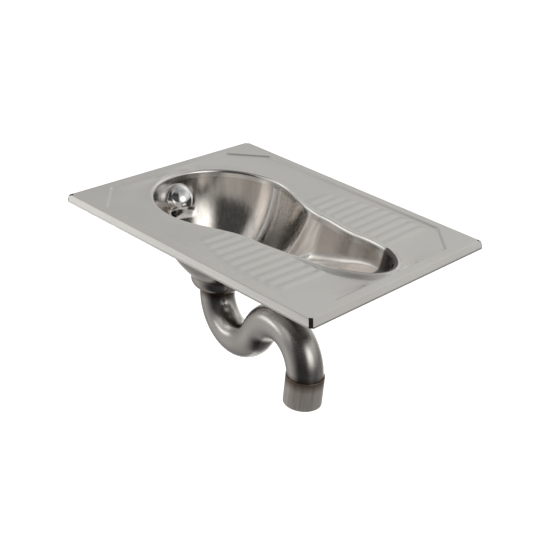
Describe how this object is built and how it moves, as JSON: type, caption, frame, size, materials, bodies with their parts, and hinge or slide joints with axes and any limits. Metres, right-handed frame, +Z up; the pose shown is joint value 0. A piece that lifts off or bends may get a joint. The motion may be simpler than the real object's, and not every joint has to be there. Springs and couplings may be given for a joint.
{
  "type": "squat toilet pan",
  "caption": "Rectangular stainless squat toilet pan with foot treads, a deep rear bowl, a shallow front trough, a flush spreader and a welded swan-neck trap.",
  "frame": {"origin": "centre of the deck in plan, on the plane of the rim's bottom edge, which rests on the floor finish", "axes": "+X to the front end of the trough (the longest side), +Y across the pan to its left, +Z up out of the floor"},
  "size_m": [0.68, 0.544, 0.34],
  "materials": {
    "satin_sheet": "satin, brushed",
    "polished_sheet": "near-mirror, drawn",
    "cup_steel": "satin, heat tinted",
    "trap_steel": "polished tube",
    "tail_steel": "matte",
    "weld": "heat tinted bead",
    "chrome": "polished",
    "inlet_steel": "turned",
    "rubber": "matte",
    "brass": "machined"
  },
  "bodies": {
    "root": {"deck_tray": "satin_sheet", "rear_bowl": "polished_sheet", "front_trough": "polished_sheet", "sump_cup": "cup_steel", "trap_lower_bend": "trap_steel", "trap_upper_bend": "trap_steel", "trap_tail": "tail_steel", "trap_welds": "weld", "spreader_hood": "chrome", "inlet_tube": "inlet_steel", "inlet_inner_gasket": "rubber", "inlet_outer_gasket": "rubber", "inlet_washer": "inlet_steel", "inlet_locknut": "brass"}
  },
  "joints": []
}
